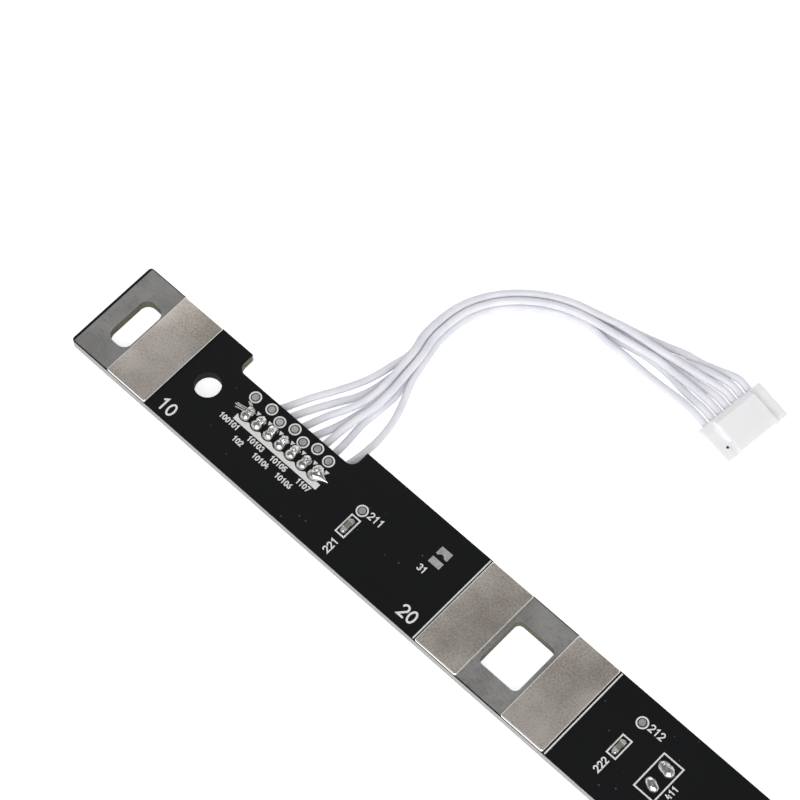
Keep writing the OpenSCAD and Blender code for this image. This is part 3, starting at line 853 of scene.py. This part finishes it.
# %% Make the solder
solder, tree, shader, place = start_finish("bright_solder", {"Metallic": 1.0, "Roughness": 0.16})
here = place.outputs["Object"]
oxide = add_node(tree, "TexNoise", {"Scale": per(0.45), "Detail": 3}, {"Vector": here})
shade = add_node(
    tree, "MapRange", {"From Min": 0.4, "From Max": 0.7}, {"Value": oxide.outputs["Fac"]}
)
solder_tint = add_node(
    tree,
    "Mix",
    {"data_type": "RGBA", 6: linear("#e9e8e6"), 7: linear("#9c9b98")},
    {0: shade.outputs["Result"]},
)
tree.links.new(solder_tint.outputs[2], shader.inputs["Base Color"])
rough = add_node(
    tree, "MapRange", {"To Min": 0.05, "To Max": 0.2}, {"Value": shade.outputs["Result"]}
)
tree.links.new(rough.outputs["Result"], shader.inputs["Roughness"])
wrinkles = add_node(tree, "TexNoise", {"Scale": per(0.3), "Detail": 2}, {"Vector": here})
bump = add_node(
    tree, "Bump", {"Strength": 0.15, "Distance": 0.06 * MM}, {"Height": wrinkles.outputs["Fac"]}
)
tree.links.new(bump.outputs["Normal"], shader.inputs["Normal"])
print("material:", solder.name)


# %% Walk out through the ovals
BLEND_POWER = 12


def walk_out(way, ovals):
    """How far the skin is in one direction, blended over all the ovals."""
    total = 0
    for middle, size in ovals:
        a = sum((d / s) ** 2 for d, s in zip(way, size))
        b = sum(d * m / s**2 for d, m, s in zip(way, middle, size))
        c = sum((m / s) ** 2 for m, s in zip(middle, size)) - 1
        total += ((b + math.sqrt(max(0, b * b - a * c))) / a) ** BLEND_POWER
    return total ** (1 / BLEND_POWER)


UP = Vector((0, 0, 1))
print("straight up in a ball of 1:", round(walk_out(UP, [((0, 0, 0), (1, 1, 1))]), 3))

# %% Grow a joint from ovals
JOINT_RINGS = 20
JOINT_TURNS = 48
RIPPLES_PER_UNIT = 3.2
SPIKE_RISE = math.radians(9)
SPIKE_WAY = Vector((math.cos(SPIKE_RISE), 0, math.sin(SPIKE_RISE)))


def grow_joint(shape, middle, ovals, ripple, seed, spike=()):
    """A closed blob of solder on the board. A spike is given as pairs of length and spread."""
    rows = []
    for ring in range(1, JOINT_RINGS + 1):
        tilt = math.pi / 2 * ring / JOINT_RINGS
        out, up = math.sin(tilt), math.cos(tilt)
        row = []
        for turn in range(JOINT_TURNS):
            spin = 2 * math.pi * turn / JOINT_TURNS
            way = Vector((out * math.cos(spin), out * math.sin(spin), up))
            strands_here = 1 + 2 * max(0, way.y)
            wave = noise.noise(way * RIPPLES_PER_UNIT + Vector((seed, 0, 0)))
            reach = walk_out(way, ovals) * (1 + ripple * strands_here * wave)
            for length, spread in spike:
                reach += length * math.exp(-way.angle(SPIKE_WAY) / spread)
            row.append(shape.verts.new(Vector(middle) + way * reach))
        rows.append(row)
    top = shape.verts.new(Vector(middle) + UP * walk_out(UP, ovals))
    for turn in range(JOINT_TURNS):
        after = (turn + 1) % JOINT_TURNS
        shape.faces.new((top, rows[0][turn], rows[0][after]))
        for inner, outer in zip(rows, rows[1:]):
            shape.faces.new((inner[turn], outer[turn], outer[after], inner[after]))
    shape.faces.new(rows[-1][::-1])


print("each joint has", JOINT_RINGS * JOINT_TURNS + 1, "points")

# %% Solder the seven wires
IRON_LEFT_LATE = ((0.85, 0.55), (0.8, 0.16))
dice = random.Random(5)
for i in range(1, JOINT_COUNT + 1):
    near = (dice.uniform(-0.05, 0.03), -0.34, 0.05)
    far = (dice.uniform(0, 0.08), 0.48, 0.05)
    ovals = [
        (near, (0.78, 0.7, dice.uniform(0.62, 0.68))),
        (far, (dice.uniform(0.72, 0.77), 0.72, dice.uniform(0.6, 0.66))),
    ]
    for side in (0.02, 0.38):
        lump = (side + dice.uniform(-0.06, 0.06), 0.44, 0.1)
        ovals.append((lump, (0.24, dice.uniform(0.55, 0.66), dice.uniform(0.7, 0.76))))
    spike = IRON_LEFT_LATE if i == JOINT_COUNT else ()
    shape = bmesh.new()
    grow_joint(shape, (*joint_place(i), TOP), ovals, 0.03, 7.3 * i, spike)
    joint = make_piece(f"wire_solder_{i}", shape, solder, [f"wire_joint_{i}"])
print("joints:", joint.name, "is the last")

# %% Solder the thermistor
LEAD_GAP = 2.54
BEAD_AT = (94.0, 7.35)
LOWER_BLOB = [((-0.25, 0.12, 0.05), (0.84, 0.7, 0.6)), ((0.26, -0.1, 0.05), (0.84, 0.72, 0.56))]
UPPER_BLOB = [((-0.32, 0.14, 0.05), (0.94, 0.78, 0.6)), ((0.36, 0.02, 0.05), (0.92, 0.82, 0.66))]
shape = bmesh.new()
for side, ovals, ripple, seed in ((-1, LOWER_BLOB, 0.03, 3.1), (1, UPPER_BLOB, 0.04, 9.4)):
    hole = (BEAD_AT[0], BEAD_AT[1] + side * LEAD_GAP / 2, TOP)
    grow_joint(shape, hole, ovals, ripple, seed)
make_piece("thermistor_solder", shape, solder, ["thermistor_joints"])
print("thermistor joints", LEAD_GAP, "mm apart")

# %% [markdown]
# ## Strands and leads
#
# Under the insulation a wire is a twist of tinned copper strands, silvery and
# a little ribbed. A bump from fine noise is enough for the ribs, because the
# strands are thinner than the eye can part here. A few strands of the first
# wire missed the joint and lie beside it on the mask, as happens on boards
# soldered by hand, and each is a thin tube from the joint down to the mask.

# %% Make the tinned strands
silvery = {"Metallic": 1.0, "Roughness": 0.3}
strands = grained_finish(
    "tinned_copper_strands", silvery, 0.2, 2, ("#c4c0b6", "#e2dfd8"), (0.5, 0.05)
)
for i in range(1, JOINT_COUNT + 1):
    dress(f"wire_core_{i}", strands)
dress("thermistor_leads", strands)


# %% Lay the stray strands
def join_rings(shape, rings):
    """Faces between neighbouring rings of points, and one at each end."""
    for near, far in zip(rings, rings[1:]):
        for k in range(len(near)):
            shape.faces.new((near[k], near[k - 1], far[k - 1], far[k]))
    shape.faces.new(rings[0])
    shape.faces.new(rings[-1][::-1])


def add_tube(shape, line, thick, sides=8):
    """A closed round tube along a few points, in a bmesh."""
    rings = []
    for k, point in enumerate(line):
        ahead = (line[min(k + 1, len(line) - 1)] - line[max(k - 1, 0)]).normalized()
        across = ahead.cross(UP).normalized()
        rise = across.cross(ahead)
        ring = []
        for turn in range(sides):
            angle = 2 * math.pi * turn / sides
            off = math.cos(angle) * across + math.sin(angle) * rise
            ring.append(shape.verts.new(point + thick / 2 * off))
        rings.append(ring)
    join_rings(shape, rings)


STRAND_THICK = 0.2
shape = bmesh.new()
for ends in (
    ((23.5, 8.0, 3.5), (22.9, 7.95, 3.45), (22.3, 7.9, 3.25), (21.85, 7.95, 3.1)),
    ((23.5, 8.25, 3.5), (22.95, 8.2, 3.45), (22.4, 8.15, 3.25), (22.0, 8.2, 3.1)),
    ((23.5, 7.75, 3.5), (23.0, 7.7, 3.4), (22.5, 7.65, 3.2), (22.15, 7.6, 3.1)),
    ((23.8, 8.8, 3.4), (23.5, 8.95, 3.4), (23.2, 9.1, 3.25), (22.95, 9.25, 3.1)),
    ((23.9, 9.0, 3.4), (23.65, 9.1, 3.4), (23.4, 9.2, 3.25), (23.2, 9.35, 3.1)),
):
    add_tube(shape, smooth_line([Vector(p) for p in ends], 5), STRAND_THICK)
stray = make_piece("stray_strands", shape, strands)
print(stray.name, len(stray.data.polygons), "faces")

# %% [markdown]
# ## Chip resistors
#
# A chip resistor is a sliver of ceramic with a black coat on top and a dipped
# metal cap at each end. Flux leaves the coat speckled with grey. The caps
# have soft corners, and a ramp of solder climbs from each pad up its cap,
# which gives the bright spark at the ends. The boxes get their corners from
# a bevel, and the ramps are grown as the solder joints are.

# %% Make the chip's coat
half_gloss = {"Roughness": 0.5, "IOR": 1.52}
coat = grained_finish("black_chip_coat", half_gloss, 0.3, 2, ("#2b2b2a", "#a09d92"), (0.3, 0.02))

# %% Build the chips
CAP_LENGTH = 0.35
SOFT_EDGE = {"width": 0.05, "segments": 3, "limit_method": "ANGLE"}
for k in (1, 2):
    low, high = in_board_mm(f"resistor_body_{k}")
    shape = bmesh.new()
    add_box(shape, low, high)
    soften = [("BEVEL", SOFT_EDGE)]
    make_piece(f"chip_body_{k}", shape, coat, [f"resistor_body_{k}"], soften)
    low, high = in_board_mm(f"resistor_caps_{k}")
    shape = bmesh.new()
    add_box(shape, low, (high.x, low.y + CAP_LENGTH, high.z))
    add_box(shape, (low.x, high.y - CAP_LENGTH, low.z), high)
    make_piece(f"chip_caps_{k}", shape, thin_tin, [f"resistor_caps_{k}"], soften)
    shape = bmesh.new()
    middle_x = (low.x + high.x) / 2
    for end, outward, seed in ((low.y, -0.1, 2.0), (high.y, 0.02, 5.5)):
        depth = 0.24 + abs(outward)
        ramp = [((0, outward, 0), (0.41, depth, 0.36)), ((0.1, outward / 2, 0), (0.28, depth, 0.4))]
        grow_joint(shape, (middle_x, end, low.z), ramp, 0.05, seed + k)
    fillets = make_piece(f"chip_solder_{k}", shape, solder)
    print(fillets.name, len(fillets.data.polygons), "faces")

# %% [markdown]
# ## The thermistor's bead
#
# The sensor sits under the board, between the cells. It is dipped in black
# epoxy, which cures to a smooth, slightly wavy gloss. The solid already has
# the right drop shape, so it only gets this finish.

# %% Make the dipped epoxy
wet_gloss = {"Roughness": 0.22, "IOR": 1.55}
bead = grained_finish("black_dipped_epoxy", wet_gloss, 1.2, 2, ("#101113", "#202124"), (0.3, 0.1))
dress("thermistor_bead", bead)

# %% [markdown]
# ## The plug
#
# The plug is moulded in natural white nylon, whose IOR is 1.53. It has a
# raised panel in the middle that a latch runs over, a wing on each side, a
# sloping lip where the wires go in, and square cavities at the mating side.
# Its outline changes along its length, so it is lofted: the same ring of
# points is drawn at a few stations, and neighbours are joined. The holes are
# cut by a Boolean, and a bevel softens what the mould softened.

# %% Make the nylon
nylon, tree, shader, place = start_finish(
    "moulded_white_nylon",
    {"Roughness": 0.46, "IOR": 1.53, "Subsurface Weight": 0.3, "Subsurface Scale": 0.5 * MM},
)
shader.inputs["Subsurface Radius"].default_value = (1.0, 0.95, 0.9)
flow = add_node(
    tree, "TexNoise", {"Scale": per(2.5), "Detail": 3}, {"Vector": place.outputs["Object"]}
)
nylon_tint = add_node(
    tree,
    "Mix",
    {"data_type": "RGBA", 6: linear("#f6f6f7"), 7: linear("#fcfcfc")},
    {0: flow.outputs["Fac"]},
)
tree.links.new(nylon_tint.outputs[2], shader.inputs["Base Color"])
texture = add_node(
    tree, "TexNoise", {"Scale": per(0.25), "Detail": 2}, {"Vector": place.outputs["Object"]}
)
bump = add_node(
    tree, "Bump", {"Strength": 0.15, "Distance": 0.02 * MM}, {"Height": texture.outputs["Fac"]}
)
tree.links.new(bump.outputs["Normal"], shader.inputs["Normal"])
print("material:", nylon.name)

# %% Stations of the plug
PLUG_WIDTH = 10.5
PANEL = (2.2, 8.6)
LEFT_GROOVE = 0.6
RIGHT_GROOVE = 0.85


def plug_outline(edge, wing, panel, left, right):
    """The plug's ring of points: heights of its edge, wing, panel and two groove floors."""
    low, high = PANEL
    return [
        (0.2, 0),
        (PLUG_WIDTH - 0.2, 0),
        (PLUG_WIDTH, 0.2),
        (PLUG_WIDTH, edge),
        (PLUG_WIDTH - 0.2, wing),
        (high + RIGHT_GROOVE + 0.1, wing),
        (high + RIGHT_GROOVE, right),
        (high + 0.05, right),
        (high, panel),
        (low, panel),
        (low - 0.05, left),
        (low - LEFT_GROOVE, left),
        (low - LEFT_GROOVE - 0.08, wing),
        (0.25, wing),
        (0, edge),
        (0, 0.2),
    ]


STATIONS = [
    (0, plug_outline(1.85, 1.98, 2.0, 1.97, 1.97)),
    (0.9, plug_outline(2.1, 2.28, 2.98, 2.25, 2.2)),
    (1.4, plug_outline(2.1, 2.3, 3.0, 2.25, 2.1)),
    (3.6, plug_outline(2.1, 2.3, 3.0, 2.2, 1.95)),
    (3.75, plug_outline(2.1, 2.3, 3.0, 1.8, 1.95)),
    (PLUG_LENGTH, plug_outline(2.05, 2.28, 3.0, 1.8, 1.8)),
]
print("plug:", len(STATIONS), "stations of", len(STATIONS[0][1]), "points")

# %% Shape the tool that cuts the plug's holes
CAVITY = 0.8
HOLE_RADIUS = 0.53
MARK = (4.0, 1.4)
MARK_FLOOR = 2.0
MARK_RADIUS = 0.2
MARK_TOOL = 1.0
LIE_DOWN = Matrix.Rotation(math.pi / 2, 4, "Y")


def add_rod(shape, segments, radius, length, place):
    """A round rod about the given place, in a bmesh."""
    bmesh.ops.create_cone(
        shape,
        cap_ends=True,
        segments=segments,
        radius1=radius,
        radius2=radius,
        depth=length,
        matrix=place,
    )


cutter_shape = bmesh.new()
for i in range(1, JOINT_COUNT + 1):
    middle = Vector((0, contact_y(i), CONTACT_HEIGHT))
    half = Vector((0, CAVITY / 2, CAVITY / 2))
    low = middle - half + Vector((WIRE_SEAT - 0.1, 0, 0))
    high = middle + half + Vector((PLUG_LENGTH + 1, 0, 0))
    add_box(cutter_shape, low, high)
    wire_hole = Matrix.Translation(middle) @ LIE_DOWN
    add_rod(cutter_shape, 24, HOLE_RADIUS, 2 * WIRE_SEAT, wire_hole)
mark_place = Matrix.Translation((*MARK, MARK_FLOOR + MARK_TOOL / 2))
add_rod(cutter_shape, 20, MARK_RADIUS, MARK_TOOL, mark_place)
cutter_shape.transform(PLUG_PLACE)
cutter_mesh = bpy.data.meshes.new("plug_cutter")
cutter_shape.to_mesh(cutter_mesh)
cutter_shape.free()
cutter = bpy.data.objects.new("plug_cutter", cutter_mesh)
bpy.context.scene.collection.objects.link(cutter)
print("cutter:", len(cutter_mesh.polygons), "faces")

# %% Loft, cut and soften the plug
CUT = {"object": cutter, "operation": "DIFFERENCE", "solver": "EXACT", "use_self": True}
MOULD_EDGE = {"width": 0.07, "segments": 3, "limit_method": "ANGLE", "angle_limit": 0.5}
shape = bmesh.new()
join_rings(shape, [[shape.verts.new((x, y, z)) for y, z in outline] for x, outline in STATIONS])
shape.transform(PLUG_PLACE)
machining = [("BOOLEAN", CUT), ("BEVEL", MOULD_EDGE)]
plug = make_piece("nylon_plug", shape, nylon, ["plug_housing"], machining)
bpy.data.objects.remove(cutter)
print(plug.name, len(plug.data.polygons), "faces")

# %% [markdown]
# ## Contacts and the painted shade in the first-contact well
#
# The contacts are stamped from phosphor bronze and tinned, which leaves a
# pale, faintly yellow metal. A small well marks the first contact, and a thin
# rod of near black in its foot is painted shade, which makes the well read dark.

# %% Make the contact metal and the painted shade
stamped = {"Metallic": 1.0, "Roughness": 0.28}
bronze = grained_finish("tinned_phosphor_bronze", stamped, 0.4, 3, ("#c2b183", "#d8cdb0"))
dress("plug_contacts", bronze)
# A near black that stands for the shade in the well: painted shade.
well_shade = grained_finish("black_painted_well_shade", {"Roughness": 0.5}, 0.15, 2, ("#0d0d10", "#26262a"))

# %% Fill the well with painted shade
DOT_RADIUS = MARK_RADIUS - 0.01
DOT_THICK = 0.2
shape = bmesh.new()
dot_place = PLUG_PLACE @ Matrix.Translation((*MARK, MARK_FLOOR + DOT_THICK / 2))
add_rod(shape, 20, DOT_RADIUS, DOT_THICK, dot_place)
dot = make_piece("painted_shade_in_well", shape, well_shade)
print(dot.name, "faces:", len(dot.data.polygons))

# %% [markdown]
# ## Let the wires ride with the board
#
# A wire isn't stiff like the board, but here each drawn wire simply rides
# with it, and the frame's own solid of that wire is hidden.

for i, ((wire, line), length) in enumerate(zip(wires, WIRE_LENGTHS), 1):
    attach(wire, "root")
    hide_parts(f"wire_{i}")
print("wires declared:", len(wires))

# %% [markdown]
# ## Table and light
#
# The board lies on a white table. A large soft light stands on the camera's
# side but lower, so faces that look that way are bright, and the flat metal,
# which mirrors the dim ceiling, stays grey. A weaker one stands opposite and
# lifts the shaded sides. The room is white at the height of the table and
# darker above, as a studio with pale walls is. The table must look white
# without throwing more light on the board, so it glows only for the rays
# that come from the camera, a reflection or clear material.

# %% Lay the table
TABLE_RADIUS = 6
TABLE_DROP = 0.02
TABLE_GLOW = 0.7

white, tree, shader, place = start_finish(
    "white_table", {"Roughness": 0.8, "Base Color": linear("#f7f7f7")}
)
rays = add_node(tree, "LightPath")
seen = rays.outputs["Is Camera Ray"]
for more in ("Is Glossy Ray", "Is Transmission Ray"):
    either = add_node(tree, "Math", {"operation": "MAXIMUM"}, {0: seen, 1: rays.outputs[more]})
    seen = either.outputs["Value"]
glow = add_node(tree, "Math", {"operation": "MULTIPLY", 1: TABLE_GLOW}, {0: seen})
tree.links.new(glow.outputs["Value"], shader.inputs["Emission Strength"])
shader.inputs["Emission Color"].default_value = (1, 1, 1, 1)

shape = bmesh.new()
bmesh.ops.create_circle(shape, cap_ends=True, radius=TABLE_RADIUS, segments=96)
table_mesh = bpy.data.meshes.new("table")
shape.to_mesh(table_mesh)
shape.free()
table = bpy.data.objects.new("table", table_mesh)
table.location.z = -TABLE_DROP * MM
table_mesh.materials.append(white)
bpy.context.scene.collection.objects.link(table)
print("table:", TABLE_RADIUS, "m in radius")


# %% Hang the lights
def hang_light(name, toward, distance, side, radiance):
    """A square soft light that faces the board, as bright as given per unit of its area."""
    lamp = bpy.data.lights.new(name, "AREA")
    lamp.shape = "SQUARE"
    lamp.size = side
    lamp.energy = radiance * math.pi * side * side
    holder = bpy.data.objects.new(name, lamp)
    holder.location = Vector(toward).normalized() * distance
    holder.rotation_mode = "QUATERNION"
    holder.rotation_quaternion = (-Vector(toward)).to_track_quat("-Z", "Y")
    bpy.context.scene.collection.objects.link(holder)


hang_light("key_softbox", (0.45, -0.55, 0.75), 0.65, 0.75, 2.1)
hang_light("back_fill", (-0.6, 0.55, 0.5), 0.8, 0.5, 0.9)

# %% Paint the room
PALE_WALLS = (0.92, 0.92, 0.93, 1)
DIM_CEILING = (0.26, 0.26, 0.27, 1)

world = bpy.data.worlds.new("studio_room")
bpy.context.scene.world = world
world.use_nodes = True
tree = world.node_tree
tree.nodes.clear()
direction = add_node(tree, "TexCoord")
upward = add_node(tree, "SeparateXYZ", links={"Vector": direction.outputs["Generated"]})
ceiling = add_node(
    tree,
    "MapRange",
    {"interpolation_type": "SMOOTHSTEP", "From Min": 0.2, "From Max": 0.7},
    {"Value": upward.outputs["Z"]},
)
room = add_node(
    tree,
    "Mix",
    {"data_type": "RGBA", 6: PALE_WALLS, 7: DIM_CEILING},
    {0: ceiling.outputs["Result"]},
)
background = add_node(tree, "Background", links={"Color": room.outputs[2]})
add_node(tree, "OutputWorld", links={"Surface": background.outputs["Background"]})
bpy.context.scene.view_settings.view_transform = "Standard"
print("room:", world.name)
